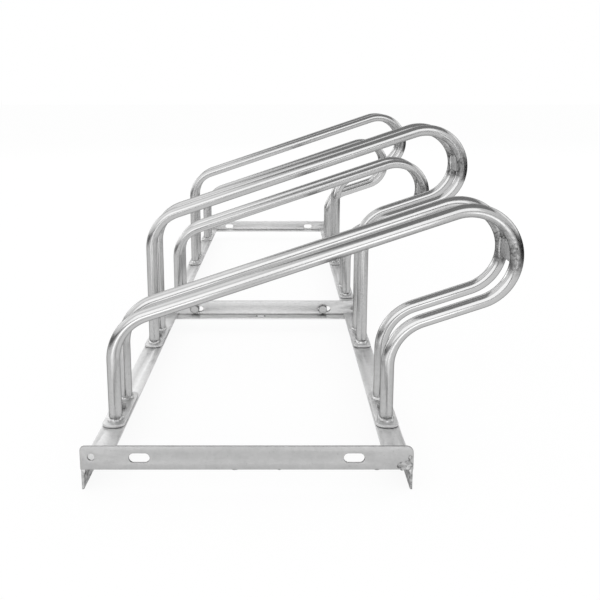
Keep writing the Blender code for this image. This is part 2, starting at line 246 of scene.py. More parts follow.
def round_off(radius, segments):
    """Bevels the selected edges."""
    bpy.ops.mesh.bevel(offset=radius, segments=segments, affect="EDGES")


def apply_modifier(piece, kind, **settings):
    """Adds a modifier and applies it at once."""
    deselect()
    bpy.context.view_layer.objects.active = piece
    piece.select_set(True)
    modifier = piece.modifiers.new(kind.lower(), kind)
    for key, value in settings.items():
        setattr(modifier, key, value)
    bpy.ops.object.modifier_apply(modifier=modifier.name)


def soften(piece, width, segments):
    """Takes the sharpness off all edges of a piece."""
    apply_modifier(piece, "BEVEL", width=width, segments=segments, limit_method="ANGLE",
                   angle_limit=radians(50))


def drill(piece, cutter):
    """Takes the cutter's shape out of the piece."""
    apply_modifier(piece, "BOOLEAN", operation="DIFFERENCE", solver="EXACT", object=cutter)
    bpy.data.objects.remove(cutter, do_unlink=True)


def drill_bit(place, axis, diameter, depth=0.02):
    """Round cutter about a point."""
    deselect()
    turn = {"z": (0, 0, 0), "y": (pi / 2, 0, 0)}[axis]
    bpy.ops.mesh.primitive_cylinder_add(vertices=32, radius=diameter / 2, depth=depth, location=place,
                                        rotation=turn)
    return keep_in_mesh("cutter")


def write_attribute(piece, name, kind, domain, values):
    """Writes an attribute that the materials read, with a value for each face or point."""
    attribute = piece.data.attributes.new(name, kind, domain)
    attribute.data.foreach_set("vector" if kind == "FLOAT_VECTOR" else "value", values)


def mark_dull_zinc_and_painted_shade(piece, share):
    """Marks dull zinc and painted shade on each face: 0 is bright, 1 dark and dull in pits, 2 all over."""
    shares = [share(face.center, face.normal) for face in piece.data.polygons]
    write_attribute(piece, "dull_zinc_and_painted_shade", "FLOAT", "FACE", shares)


def finish_piece(piece, material, slot, *cad_nodes):
    """Smooths the round sides, gives the piece its material and ties it to the frame."""
    deselect()
    bpy.context.view_layer.objects.active = piece
    piece.select_set(True)
    bpy.ops.object.shade_smooth_by_angle(angle=radians(32))
    piece.data.materials.clear()
    piece.data.materials.append(material)
    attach(piece, "root")
    if cad_nodes:
        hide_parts(*cad_nodes)
    deselect()


# How fine the zinc's patterns are, in waves to the metre
CLOUDS_PER_METRE = 55
STREAKS_PER_METRE = 260
GRAIN_PER_METRE = 900
SPECKS_PER_METRE = 420
PITS_PER_METRE = 230
CRYSTALS_PER_METRE = 210

# Which part of a noise's range counts, and how strongly
NOISE_RANGE = (0.3, 0.7)
SPECK_RANGE = (0.70, 0.78)
SPECK_DARKNESS = 0.16
PIT_RANGE = (0.35, 0.60)
DULL_BETWEEN_PITS = 0.45

# Times the roughness, in the darkest and in the lightest clouds
CLOUDY_ROUGHNESS = (0.85, 1.2)

# How far dull zinc, painted shade and matt zinc depart from the bright one, and how high its grain stands
DULL_AND_SHADED_TONE = 0.2
DULL_ROUGHNESS = 0.35
DULL_HEIGHT = 0.8
MATT_ROUGHNESS = 0.07
GRAIN_HEIGHT = 0.12
BUMP_DEPTH = 0.0006


def noise(tree, place, scale, detail):
    """Cloud pattern from 0 to 1."""
    node = tree.nodes.new("ShaderNodeTexNoise")
    node.inputs["Scale"].default_value = scale
    node.inputs["Detail"].default_value = detail
    tree.links.new(place, node.inputs["Vector"])
    return node.outputs["Fac"]


def spread(tree, value, source, target):
    """Carries a value from one range over to another and holds it inside that one."""
    node = tree.nodes.new("ShaderNodeMapRange")
    node.inputs["From Min"].default_value, node.inputs["From Max"].default_value = source
    node.inputs["To Min"].default_value, node.inputs["To Max"].default_value = target
    tree.links.new(value, node.inputs["Value"])
    return node.outputs["Result"]


def combine(tree, operation, one, other):
    """Sum or product of two values, the other one of which may be a plain number."""
    node = tree.nodes.new("ShaderNodeMath")
    node.operation = operation
    tree.links.new(one, node.inputs[0])
    if isinstance(other, float):
        node.inputs[1].default_value = other
    else:
        tree.links.new(other, node.inputs[1])
    return node.outputs[0]


def read_attribute(tree, name):
    """Node that reads an attribute of the piece, which is 0 where the piece hasn't got it."""
    node = tree.nodes.new("ShaderNodeAttribute")
    node.attribute_name = name
    return node


def zinc_patterns(tree, coordinates, stretch):
    """Zinc's patterns: clouds, streaks, grain, specks, crystals, and pits of dullness and painted shade."""
    if coordinates:
        place = read_attribute(tree, coordinates).outputs["Vector"]
    else:
        place = tree.nodes.new("ShaderNodeTexCoord").outputs["Object"]
    mapping = tree.nodes.new("ShaderNodeMapping")
    mapping.inputs["Scale"].default_value = stretch
    tree.links.new(place, mapping.inputs["Vector"])
    stretched = mapping.outputs["Vector"]
    cells = tree.nodes.new("ShaderNodeTexVoronoi")
    cells.inputs["Scale"].default_value = CRYSTALS_PER_METRE
    tree.links.new(place, cells.inputs["Vector"])
    crystals = tree.nodes.new("ShaderNodeSeparateColor")
    tree.links.new(cells.outputs["Color"], crystals.inputs["Color"])
    pits = spread(tree, noise(tree, place, PITS_PER_METRE, detail=3), PIT_RANGE, (1, DULL_BETWEEN_PITS))
    return SimpleNamespace(
        clouds=noise(tree, stretched, CLOUDS_PER_METRE, detail=3),
        streaks=noise(tree, stretched, STREAKS_PER_METRE, detail=2),
        grain=noise(tree, place, GRAIN_PER_METRE, detail=2),
        specks=noise(tree, place, SPECKS_PER_METRE, detail=1),
        crystals=crystals,
        pitted_dullness_and_shade=combine(tree, "MULTIPLY", read_attribute(tree, "dull_zinc_and_painted_shade").outputs["Fac"], pits))


def zinc(name, grey, roughness, cloudiness, spangle, waviness, edge=0.6, coordinates=None,
         stretch=(1, 1, 1)):
    """Hot-dip zinc: cloudy patches, faint crystals, small dark specks and a slightly wavy surface.

    The edge is how much a face seen at a glancing angle still mirrors: the oxide on zinc darkens it there.
    Where the piece's dullness attribute is set, the coating is dull, darker and rough: on welds, run-off and
    tubes that is the zinc's own, elsewhere it is painted shade. Where it has a matt attribute, it mirrors
    less sharply.
    """
    material = bpy.data.materials.new(name)
    material.use_nodes = True
    tree = material.node_tree
    shader = tree.nodes["Principled BSDF"]
    shader.inputs["Metallic"].default_value = 1
    shader.inputs["Specular Tint"].default_value = (edge, edge, edge, 1)
    over = zinc_patterns(tree, coordinates, stretch)

    tone = combine(tree, "ADD", spread(tree, over.clouds, NOISE_RANGE, (-cloudiness, cloudiness)),
                   spread(tree, over.streaks, NOISE_RANGE, (-cloudiness / 2, cloudiness / 2)))
    tone = combine(tree, "ADD", tone, spread(tree, over.crystals.outputs["Red"], (0, 1), (-spangle, spangle)))
    tone = combine(tree, "ADD", tone, spread(tree, over.specks, SPECK_RANGE, (0, -SPECK_DARKNESS)))
    value = combine(tree, "MULTIPLY", combine(tree, "ADD", tone, 1.0), grey)
    # Darker where the zinc is dull, and where shade is painted
    value = combine(tree, "MULTIPLY", value, spread(tree, over.pitted_dullness_and_shade, (0, 1), (1, DULL_AND_SHADED_TONE)))
    colour = tree.nodes.new("ShaderNodeCombineColor")
    for channel in ("Red", "Green", "Blue"):
        tree.links.new(value, colour.inputs[channel])
    tree.links.new(colour.outputs["Color"], shader.inputs["Base Color"])

    cloudy_range = [roughness * share for share in CLOUDY_ROUGHNESS]
    dull = combine(tree, "ADD", spread(tree, over.clouds, NOISE_RANGE, cloudy_range),
                   spread(tree, over.crystals.outputs["Green"], (0, 1), (-spangle, 2 * spangle)))
    dull = combine(tree, "ADD", dull, spread(tree, over.pitted_dullness_and_shade, (0, 1), (0, DULL_ROUGHNESS)))
    matt = combine(tree, "MULTIPLY", read_attribute(tree, "matt").outputs["Fac"], MATT_ROUGHNESS)
    tree.links.new(combine(tree, "ADD", dull, matt), shader.inputs["Roughness"])

    height = combine(tree, "ADD", over.clouds, combine(tree, "MULTIPLY", over.grain, GRAIN_HEIGHT))
    height = combine(tree, "ADD", height, combine(tree, "MULTIPLY", over.pitted_dullness_and_shade, DULL_HEIGHT))
    bump = tree.nodes.new("ShaderNodeBump")
    bump.inputs["Strength"].default_value = waviness
    bump.inputs["Distance"].default_value = BUMP_DEPTH
    tree.links.new(height, bump.inputs["Height"])
    tree.links.new(bump.outputs["Normal"], shader.inputs["Normal"])
    return material


zinc_on_angle = zinc("zinc_on_angle_iron", grey=0.76, roughness=0.42, cloudiness=0.05, spangle=0.02,
                     waviness=0.15)
for frame_name, places in (("near_frame", (1, 2)), ("far_frame", (3, 4, 5))):
    for side in ("left", "right"):
        node = f"{frame_name}_{side}_rail"
        low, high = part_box(node)
        outer, inner, inward = (low[0], high[0], 1) if side == "left" else (high[0], low[0], -1)
        under = high[2] - RAIL_WALL
        leg_face = outer + inward * RAIL_WALL
        rail = block(node + "_angle", (low[0], low[1], under), high)
        edit("faces")
        bpy.ops.mesh.bisect(plane_co=(leg_face, 0, 0), plane_no=(1, 0, 0))
        pick("faces", lambda corner: near(corner.z, under) and (corner.x - leg_face) * inward < TOLERANCE)
        push((0, 0, low[2] - under))
        edit("edges")
        for x, z, radius, segments in ((leg_face, under, RAIL_ROOT_RADIUS, 5),
                                       (outer, high[2], RAIL_CORNER_RADIUS, 3),
                                       (leg_face, low[2], RAIL_TOE_RADIUS, 3),
                                       (inner, under, RAIL_TOE_RADIUS, 3)):
            pick("edges", lambda corner: near(corner.x, x) and near(corner.z, z))
            round_off(radius, segments)
        deselect()
        for place in places:
            middle = middle_of(*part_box(f"place_{place}_{side}_bolt"))
            drill(rail, drill_bit((middle[0], middle[1], under), "z", FOOT_BOLT_HOLE))
        soften(rail, width=0.0003, segments=2)

        def share(at, normal):
            """Bright on top, speckled painted shade inside the leg, less dull ends, a little elsewhere."""
            if at.z > under:
                return 0.0
            if normal.x * inward > 0.3:
                return 1.0
            return 0.7 if abs(normal.y) > 0.9 else 0.2

        mark_dull_zinc_and_painted_shade(rail, share)
        finish_piece(rail, zinc_on_angle, "galvanised_angle", node)

# End pieces: a flat plate closes each frame in front, and an angle behind, whose flange lies under the
# rails. Both are cut from 3 mm bar, punched with two joining slots and an eye, and welded across the ends
# of the rails.
END_WALL = 0.003
END_CORNER = 0.006
NEAR_PLATE_RIGHT_CORNER = 0.009
END_NOTCH = RAIL_WALL + 0.0003  # cut out of the flange at both ends, for the rails' legs
END_ROOT_RADIUS = 0.0018
SLOT_LENGTH = 0.025
SLOT_WIDTH = 0.012
SLOT_FROM_MIDDLE = 0.1285
FRONT_SLOT_HEIGHT = 0.0148
BACK_SLOT_HEIGHT = 0.0135
EYE_DIAMETER = 0.009
EYE_FROM_END = 0.0135
EYE_HEIGHT = 0.016
ANCHOR_SLOT_LENGTH = 0.020
ANCHOR_SLOT_WIDTH = 0.009
ANCHOR_SLOT_FROM_FACE = 0.0165


def slot_cutter(place, axis, length, width):
    """Cutter for a slot with round ends: a round one whose two halves are moved apart along x."""
    cutter = drill_bit(place, axis, width)
    edit("verts")
    for direction in (-1, 1):
        pick("verts", lambda corner: (corner.x - place[0]) * direction > MARGIN)
        bpy.ops.transform.translate(value=(direction * (length - width) / 2, 0, 0))
    deselect()
    return cutter


def punch(piece, low, high, slot_height, eye_side):
    """Two joining slots and the eye through the upright part."""
    middle = middle_of(low, high)
    for direction in (-1, 1):
        place = (middle[0] + direction * SLOT_FROM_MIDDLE, middle[1], low[2] + slot_height)
        drill(piece, slot_cutter(place, "y", SLOT_LENGTH, SLOT_WIDTH))
    eye_x = low[0] + EYE_FROM_END if eye_side == "left" else high[0] - EYE_FROM_END
    drill(piece, drill_bit((eye_x, middle[1], low[2] + EYE_HEIGHT), "y", EYE_DIAMETER))


def round_upper_corners(low, high, right_corner=END_CORNER):
    """Rounds the two upper corners of the upright part, seen from the front."""
    edit("edges")
    for end_x, radius in ((low[0], END_CORNER), (high[0], right_corner)):
        pick("edges", lambda corner: near(corner.z, high[2]) and near(corner.x, end_x))
        round_off(radius, segments=8)
    deselect()


zinc_on_bar = zinc("zinc_on_flat_bar", grey=0.49, roughness=0.42, cloudiness=0.05, spangle=0.02,
                   waviness=0.15)
for frame_name in ("near_frame", "far_frame"):
    node = frame_name + "_front_plate"
    low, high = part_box(node)
    plate = block(node + "_bar", low, high)
    round_upper_corners(low, high, NEAR_PLATE_RIGHT_CORNER if frame_name == "near_frame" else END_CORNER)
    punch(plate, low, high, FRONT_SLOT_HEIGHT, eye_side="left")
    soften(plate, width=0.0008, segments=3)
    # Painted shade: all faces but front, back and top, the bevels and slot walls, are darkened and dulled
    mark_dull_zinc_and_painted_shade(plate, lambda at, normal: 0.0 if abs(normal.y) > 0.95 or normal.z > 0.9 else 1.0)
    finish_piece(plate, zinc_on_bar, "galvanised_flat_bar", node)

    node = frame_name + "_back_angle"
    low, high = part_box(node)
    face_y, flange_top = high[1] - END_WALL, low[2] + END_WALL
    flange_left, flange_right = low[0] + END_NOTCH, high[0] - END_NOTCH
    angle = block(node + "_iron", (low[0], face_y, low[2]), high)
    round_upper_corners(low, high)
    edit("faces")
    bpy.ops.mesh.bisect(plane_co=(0, 0, flange_top), plane_no=(0, 0, 1))
    for cut_x in (flange_left, flange_right):
        bpy.ops.mesh.select_all(action="SELECT")
        bpy.ops.mesh.bisect(plane_co=(cut_x, 0, 0), plane_no=(1, 0, 0))
    pick("faces", lambda corner: near(corner.y, face_y) and corner.z < flange_top + TOLERANCE
         and flange_left - TOLERANCE < corner.x < flange_right + TOLERANCE)
    push((0, low[1] - face_y, 0))
    edit("edges")
    pick("edges", lambda corner: near(corner.y, face_y) and near(corner.z, flange_top)
         and flange_left - TOLERANCE < corner.x < flange_right + TOLERANCE)
    round_off(END_ROOT_RADIUS, segments=4)
    deselect()
    punch(angle, (low[0], face_y, low[2]), high, BACK_SLOT_HEIGHT, eye_side="right")
    place = (middle_of(low, high)[0], high[1] - ANCHOR_SLOT_FROM_FACE, low[2])
    drill(angle, slot_cutter(place, "z", ANCHOR_SLOT_LENGTH, ANCHOR_SLOT_WIDTH))
    soften(angle, width=0.0004, segments=2)
    # Painted shade: the root between leg and flange and the flange's front bevels are darkened and dulled
    mark_dull_zinc_and_painted_shade(angle, lambda at, normal:
               1.6 if at.z < flange_top + 0.002 and -0.97 < normal.y < -0.2 else 0.0)
    finish_piece(angle, zinc_on_angle, "galvanised_angle", node)

# Joining bolts: two M10 hexagon bolts through the slots where the frames meet, heads towards the near end,
# each with its nut behind. Zinc-plated steel, darker than the angles.
JOINING_ACROSS = 0.016
JOINING_HEAD = 0.0064
JOINING_DIAMETER = 0.010
JOINING_SHANK = 0.0174
JOINING_NUT = 0.008
BORE_CLEARANCE = 0.0006
THREAD_PITCH = 0.0013
THREAD_SLOPE = 0.45  # share of the pitch that each of a turn's two slopes takes
THREAD_FLOOR = 0.10  # the rest of it, between them
THREAD_ROOT = 0.88  # times the shank's diameter, like the tip
THREAD_TIP = 0.86
CHAMFER = 0.10  # times the width across the flats
CHAMFER_REACH = 1.02  # times the corners' radius
CHAMFER_TOP = 0.94  # times the size of the top face
SEAT_RADIUS = 0.47  # times the width across the flats
SEAT_HEIGHT = 0.0004


def hexagon(name, across, height):
    """Hexagonal prism on z = 0, its corners cut back by a turned chamfer at the top."""
    deselect()
    corner_radius = across / 2 / cos(pi / 6)
    bpy.ops.mesh.primitive_cylinder_add(vertices=6, radius=corner_radius, depth=height,
                                        location=(0, 0, height / 2), rotation=(0, 0, pi / 6))
    prism = keep_in_mesh(name)
    deselect()
    bpy.ops.mesh.primitive_cylinder_add(vertices=72, radius=corner_radius * CHAMFER_REACH, depth=2 * height,
                                        location=(0, 0, 0))
    turned = keep_in_mesh("turned")
    edit("edges")
    pick("edges", lambda corner: near(corner.z, height))
    round_off(across * CHAMFER, segments=1)
    edit("faces")
    pick("faces", lambda corner: near(corner.z, height))
    bpy.ops.transform.resize(value=(CHAMFER_TOP, CHAMFER_TOP, 1))
    deselect()
    apply_modifier(prism, "BOOLEAN", operation="INTERSECT", solver="EXACT", object=turned)
    bpy.data.objects.remove(turned, do_unlink=True)
    return prism


def thread(name, diameter, start, length):
    """Threaded shank that hangs from z = start: a round that is pushed on and drawn in and out."""
    collar = 0.001
    deselect()
    bpy.ops.mesh.primitive_cylinder_add(vertices=28, radius=diameter / 2, depth=collar,
                                        location=(0, 0, start - collar / 2))
    shank = keep_in_mesh(name)
    edit("faces")
    pick("faces", lambda corner: near(corner.z, start - collar))
    turns = int((length - 2 * collar) / THREAD_PITCH)
    for number in range(turns):
        push((0, 0, -THREAD_PITCH * THREAD_SLOPE))
        bpy.ops.transform.resize(value=(THREAD_ROOT, THREAD_ROOT, 1))
        push((0, 0, -THREAD_PITCH * THREAD_FLOOR))
        push((0, 0, -THREAD_PITCH * THREAD_SLOPE))
        bpy.ops.transform.resize(value=(1 / THREAD_ROOT, 1 / THREAD_ROOT, 1))
    left_over = length - collar - turns * THREAD_PITCH
    push((0, 0, -left_over))
    bpy.ops.transform.resize(value=(THREAD_TIP, THREAD_TIP, 1))
    deselect()
    return shank


def join(pieces, name):
    """Makes one piece of several."""
    deselect()
    for piece in pieces:
        piece.select_set(True)
    bpy.context.view_layer.objects.active = pieces[0]
    bpy.ops.object.join()
    joined = bpy.context.object
    joined.name = name
    deselect()
    return joined


def bolt(name, across, head, diameter, shank_length):
    """Hexagon bolt with its head standing on z = 0 and its threaded shank hanging from it."""
    top = hexagon(name, across, head)
    deselect()
    bpy.ops.mesh.primitive_cylinder_add(vertices=40, radius=across * SEAT_RADIUS, depth=SEAT_HEIGHT,
                                        location=(0, 0, SEAT_HEIGHT / 2))
    seat = keep_in_mesh(name + "_seat")
    return join([top, seat, thread(name + "_shank", diameter, 0.0001, shank_length)], name)


def nut(name, across, height, diameter):
    """Hexagon nut that hangs from z = 0, chamfered below, with a clear bore."""
    body = hexagon(name, across, height)
    drill(body, drill_bit((0, 0, height / 2), "z", diameter + BORE_CLEARANCE, 4 * height))
    body.data.transform(Matrix.Rotation(pi, 4, "X"))
    return body


def bolt_and_nut(name, across, head, diameter, shank_length, nut_height):
    """Patterns of a bolt and its nut, with painted shade, dull and dark, on their flanks."""
    patterns = (bolt(name + "_bolt_pattern", across, head, diameter, shank_length),
                nut(name + "_nut_pattern", across, nut_height, diameter))
    for pattern in patterns:
        # Painted shade on the flanks; the flat ends stay bright
        mark_dull_zinc_and_painted_shade(pattern, lambda at, normal: 0.0 if abs(normal.z) > 0.95 else 0.7)
    return patterns


def set_down(pattern, group, kind, seat, turn):
    """Copy of a pattern with its own mesh, turned and put on its seat, in place of a bolt or nut node."""
    piece = bpy.data.objects.new(f"{group}_hexagon_{kind}", pattern.data.copy())
    scene.collection.objects.link(piece)
    piece.data.transform(Matrix.Translation(seat) @ turn)
    finish_piece(piece, plated, "zinc_plated_fastener", f"{group}_{kind}")


def put_away(patterns):
    """Removes patterns that have been copied often enough."""
    for pattern in patterns:
        bpy.data.objects.remove(pattern, do_unlink=True)


plated = zinc("bright_plating", grey=0.52, roughness=0.24, cloudiness=0.06, spangle=0.02, waviness=0.25)
joining_bolt, joining_nut = bolt_and_nut("joining", JOINING_ACROSS, JOINING_HEAD, JOINING_DIAMETER,
                                         JOINING_SHANK, JOINING_NUT)
for number, side in enumerate(("left", "right")):
    turn = Matrix.Rotation(pi / 2, 4, "X") @ Matrix.Rotation(radians(30 + 7 * number), 4, "Z")
    low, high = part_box(f"joining_{side}_bolt")
    middle = middle_of(low, high)
    set_down(joining_bolt, f"joining_{side}", "bolt", (middle[0], low[1] + JOINING_HEAD, middle[2]), turn)
    low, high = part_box(f"joining_{side}_nut")
    set_down(joining_nut, f"joining_{side}", "nut", (middle[0], low[1], middle[2]), turn)
put_away((joining_bolt, joining_nut))

# Foot plates: short lengths of 4 mm flat bar with rounded ends, one under the two left posts of every place
# and one under the two right posts. They lie on the rails and one bolt each holds them.
FOOT_CORNER = 0.011
zinc_on_foot_plate = zinc("zinc_on_foot_plate", grey=0.70, roughness=0.42, cloudiness=0.07, spangle=0.03,
                          waviness=0.2)
for place in PLACES:
    for side in ("left", "right"):
        node = f"place_{place}_{side}_foot_plate"
        low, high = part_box(node)
        foot = block(node + "_bar", low, high)
        edit("edges")
        bpy.ops.mesh.select_all(action="DESELECT")
        mesh = bmesh.from_edit_mesh(foot.data)
        for edge in mesh.edges:
            one, other = (corner.co for corner in edge.verts)
            if near(one.x, other.x) and near(one.y, other.y):
                edge.select_set(True)
        bmesh.update_edit_mesh(foot.data)
        round_off(FOOT_CORNER, segments=10)
        deselect()
        drill(foot, drill_bit(middle_of(low, high), "z", FOOT_BOLT_HOLE))
        soften(foot, width=0.0012, segments=3)
        # Painted shadow: the bevel round the lower edge is darkened and dulled, as a dark line on the rail
        mark_dull_zinc_and_painted_shade(foot, lambda at, normal: 2.0 if -0.95 < normal.z < -0.1 else 0.0)
        finish_piece(foot, zinc_on_foot_plate, "galvanised_flat_bar", node)

# Hoops: ten lengths of 18 mm steel tube, each bent in one plane: up from the foot, over the knee, along the
# rising run, round the nose and back down. Bright, smooth zinc with fine lines along the tube, duller round
# the welds and at the nose plate's height and above.
TUBE = 0.018
TUBE_WALL = 0.002
RUN_SLOPE = radians(18.6)
KNEE_RADIUS = 0.066
NOSE_RADIUS = 0.062
FOOT_WELD_REACH = 0.011
PLATE_WELD_REACH = 0.017
PLATE_WELD_SHARE = 2.2  # past 1, so that the fully dull zone has some width
PLATE_SIDE_SHARE = 0.4  # how much duller the side towards the plate is than the middle
PLATE_MIDDLE_SHARE = 0.85
BEND_DULL_REACH = 0.05
BEND_DULL_SHARE = 0.75
POST_DULL_SHARE = 0.10
PATTERN_STEP = 1.5  # from hoop to hoop, so that no two have the same lines
HALF_TUBE = TUBE / 2
ALONG_RUN = Vector((cos(RUN_SLOPE), 0, sin(RUN_SLOPE)))
ACROSS_RUN = Vector((-sin(RUN_SLOPE), 0, cos(RUN_SLOPE)))
KNEE_TURN = pi / 2 - RUN_SLOPE
KNEE_ARC = KNEE_RADIUS * KNEE_TURN
KNEE_TANGENT = KNEE_RADIUS * tan(KNEE_TURN / 2)


def hoop_course(place, which):
    """Middle line of a hoop: its posts, the middles of its bends, the ends of its runs and its lengths."""
    low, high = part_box(f"place_{place}_{which}_hoop")
    bolt_low, bolt_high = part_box(f"place_{place}_right_bolt")
    course = SimpleNamespace(y=(low[1] + high[1]) / 2, foot_z=low[2])
    course.left_x = low[0] + HALF_TUBE
    course.right_x = (bolt_low[0] + bolt_high[0]) / 2
    course.nose = Vector((high[0] - HALF_TUBE - NOSE_RADIUS, course.y, high[2] - HALF_TUBE - NOSE_RADIUS))
    course.nose_start = course.nose + ACROSS_RUN * NOSE_RADIUS
    course.nose_end = course.nose - ACROSS_RUN * NOSE_RADIUS
    left_corner = course.nose_start - ALONG_RUN * ((course.nose_start.x - course.left_x) / cos(RUN_SLOPE))
    right_corner = course.nose_end - ALONG_RUN * ((course.nose_end.x - course.right_x) / cos(RUN_SLOPE))
    course.left_top = left_corner.z - KNEE_TANGENT
    course.right_top = right_corner.z - KNEE_TANGENT
    course.left_knee = Vector((course.left_x + KNEE_RADIUS, course.y, course.left_top))
    course.right_knee = Vector((course.right_x + KNEE_RADIUS, course.y, course.right_top))
    course.run_start = left_corner + ALONG_RUN * KNEE_TANGENT
    course.run_end = right_corner + ALONG_RUN * KNEE_TANGENT

    # How far along the tube each stretch after the left post begins
    run_length = (course.nose_start - course.run_start).length
    run_back_length = (course.nose_end - course.run_end).length
    (course.to_left_knee, course.to_run, course.to_nose, course.to_run_back, course.to_right_knee,
     course.to_right_post) = accumulate([course.left_top - course.foot_z, KNEE_ARC, run_length,
                                         pi * NOSE_RADIUS, run_back_length, KNEE_ARC])
    return course


def bend(centre, angle, steps):
    """Spins the open end of the tube about an axis along y."""
    bpy.ops.mesh.spin(steps=steps, angle=-angle, center=centre, axis=(0, 1, 0))


def bend_tube(name, course):
    """Tube from foot to foot: a circle, pushed along the straight stretches and spun round the bends."""
    deselect()
    bpy.ops.mesh.primitive_circle_add(vertices=32, radius=HALF_TUBE,
                                      location=(course.left_x, course.y, course.foot_z))
    hoop = keep_in_mesh(name)
    edit("edges")
    push((0, 0, FOOT_WELD_REACH))
    push((0, 0, course.left_top - course.foot_z - FOOT_WELD_REACH))
    bend(course.left_knee, KNEE_TURN, steps=20)
    push(course.nose_start - course.run_start)
    bend(course.nose, pi, steps=48)
    push(course.run_end - course.nose_end)
    bend(course.right_knee, -KNEE_TURN, steps=20)
    push((0, 0, course.foot_z + FOOT_WELD_REACH - course.right_top))
    push((0, 0, -FOOT_WELD_REACH))
    bpy.ops.mesh.select_all(action="SELECT")
    bpy.ops.mesh.remove_doubles(threshold=1e-6)
    bpy.ops.mesh.normals_make_consistent(inside=False)
    deselect()
    apply_modifier(hoop, "SOLIDIFY", thickness=TUBE_WALL, offset=-1, use_even_offset=True, use_rim=True)
    return hoop


def on_tube(point, course):
    """How far along the tube a point lies, and how far off its middle line, in the plane of the bends."""
    from_left = point - course.left_knee
    from_nose = point - course.nose
    from_right = point - course.right_knee
    above_nose = from_nose.dot(ACROSS_RUN)
    if point.x < course.left_x + HALF_TUBE + MARGIN and point.z <= course.left_top + TOLERANCE:
        return point.z - course.foot_z, point.x - course.left_x
    if from_left.x <= TOLERANCE or (from_left.dot(ALONG_RUN) <= TOLERANCE and above_nose > 0):
        angle = min(max(atan2(from_left.z, -from_left.x), 0), KNEE_TURN)
        return course.to_left_knee + KNEE_RADIUS * angle, KNEE_RADIUS - from_left.xz.length
    if from_nose.dot(ALONG_RUN) > TOLERANCE:
        angle = atan2(from_nose.dot(ALONG_RUN), above_nose)
        return course.to_nose + NOSE_RADIUS * angle, NOSE_RADIUS - from_nose.xz.length
    if above_nose > 0:
        return course.to_run + (point - course.run_start).dot(ALONG_RUN), NOSE_RADIUS - above_nose
    if point.z <= course.right_knee.z + TOLERANCE and point.x < course.right_x + HALF_TUBE + MARGIN:
        return course.to_right_post + course.right_knee.z - point.z, point.x - course.right_x
    if from_right.dot(ALONG_RUN) > TOLERANCE:
        return course.to_run_back + (course.nose_end - point).dot(ALONG_RUN), NOSE_RADIUS + above_nose
    angle = min(max(atan2(from_right.z, -from_right.x), 0), KNEE_TURN)
    return course.to_right_knee + KNEE_RADIUS * (KNEE_TURN - angle), KNEE_RADIUS - from_right.xz.length


def held(value):
    """Share that is kept between 0 and 1."""
    return max(0.0, min(1.0, value))


def tube_dullness(point, course, plate_low, plate_high, inner_side, on_post):
    """How dull the zinc is at a point: by the welds, from the nose plate's height up, and on the posts."""
    post_x = course.left_x if point.x < course.right_x - TUBE else course.right_x
    on_the_side = abs(point.x - post_x) / HALF_TUBE
    near_foot = max(0.0, 1 - (point.z - course.foot_z) / FOOT_WELD_REACH) * on_the_side ** 2

    half_height = (plate_high[2] - plate_low[2]) / 2
    from_plate = point - (Vector(plate_low) + Vector(plate_high)) / 2
    past_plate = max(0.0, abs(from_plate.z) - half_height)
    reach = (from_plate.x ** 2 + past_plate ** 2) ** 0.5
    towards_plate = PLATE_SIDE_SHARE * inner_side * (point.y - course.y) / HALF_TUBE
    near_plate = max(0.0, 1 - reach / PLATE_WELD_REACH) * held(PLATE_MIDDLE_SHARE + towards_plate)

    above_plate = past_plate if from_plate.z > 0 else 0
    on_the_bend = held(min(from_plate.z / half_height + 1, 1 - above_plate / BEND_DULL_REACH))
    return min(1.0, max(near_foot, PLATE_WELD_SHARE * near_plate, BEND_DULL_SHARE * on_the_bend,
                        POST_DULL_SHARE * on_post))


zinc_on_tube = zinc("bright_zinc_on_tube", grey=0.53, roughness=0.13, cloudiness=0.045, spangle=0.01,
                    waviness=0.05, edge=0.25, coordinates="along_tube", stretch=(0.06, 1, 1))
for place in PLACES:
    plate_low, plate_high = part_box(f"place_{place}_nose_plate")
    for which, number, inner_side in (("near", 2 * place, 1), ("far", 2 * place + 1, -1)):
        node = f"place_{place}_{which}_hoop"
        course = hoop_course(place, which)
        hoop = bend_tube(node + "_tube", course)
        tube_places, dull_shares, matt_shares = [], [], []
        for vert in hoop.data.vertices:
            distance, off_middle = on_tube(vert.co, course)
            tube_places += [distance + number * PATTERN_STEP, off_middle, vert.co.y - course.y]
            up_left_knee = (distance - course.to_left_knee) / KNEE_ARC
            down_right_knee = (distance - course.to_right_knee) / KNEE_ARC
            on_post = held(max(1 - up_left_knee, down_right_knee))
            matt_shares.append(on_post)
            dull_shares.append(tube_dullness(vert.co, course, plate_low, plate_high, inner_side, on_post))
        write_attribute(hoop, "along_tube", "FLOAT_VECTOR", "POINT", tube_places)
        write_attribute(hoop, "dull_zinc_and_painted_shade", "FLOAT", "POINT", dull_shares)
        write_attribute(hoop, "matt", "FLOAT", "POINT", matt_shares)
        finish_piece(hoop, zinc_on_tube, "galvanised_tube", node)

# Nose plates: one upright piece of flat bar between the two noses of a place, welded to both. It stops the
# wheel, and its ends reach a little way into the tubes' sides.
NOSE_PLATE_BITE = 0.0015
for place in PLACES:
    node = f"place_{place}_nose_plate"
    low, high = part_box(node)
    stop = block(node + "_bar", (low[0], low[1] - NOSE_PLATE_BITE, low[2]),
                 (high[0], high[1] + NOSE_PLATE_BITE, high[2]))
    soften(stop, width=0.0008, segments=3)
    finish_piece(stop, zinc_on_bar, "galvanised_flat_bar", node)

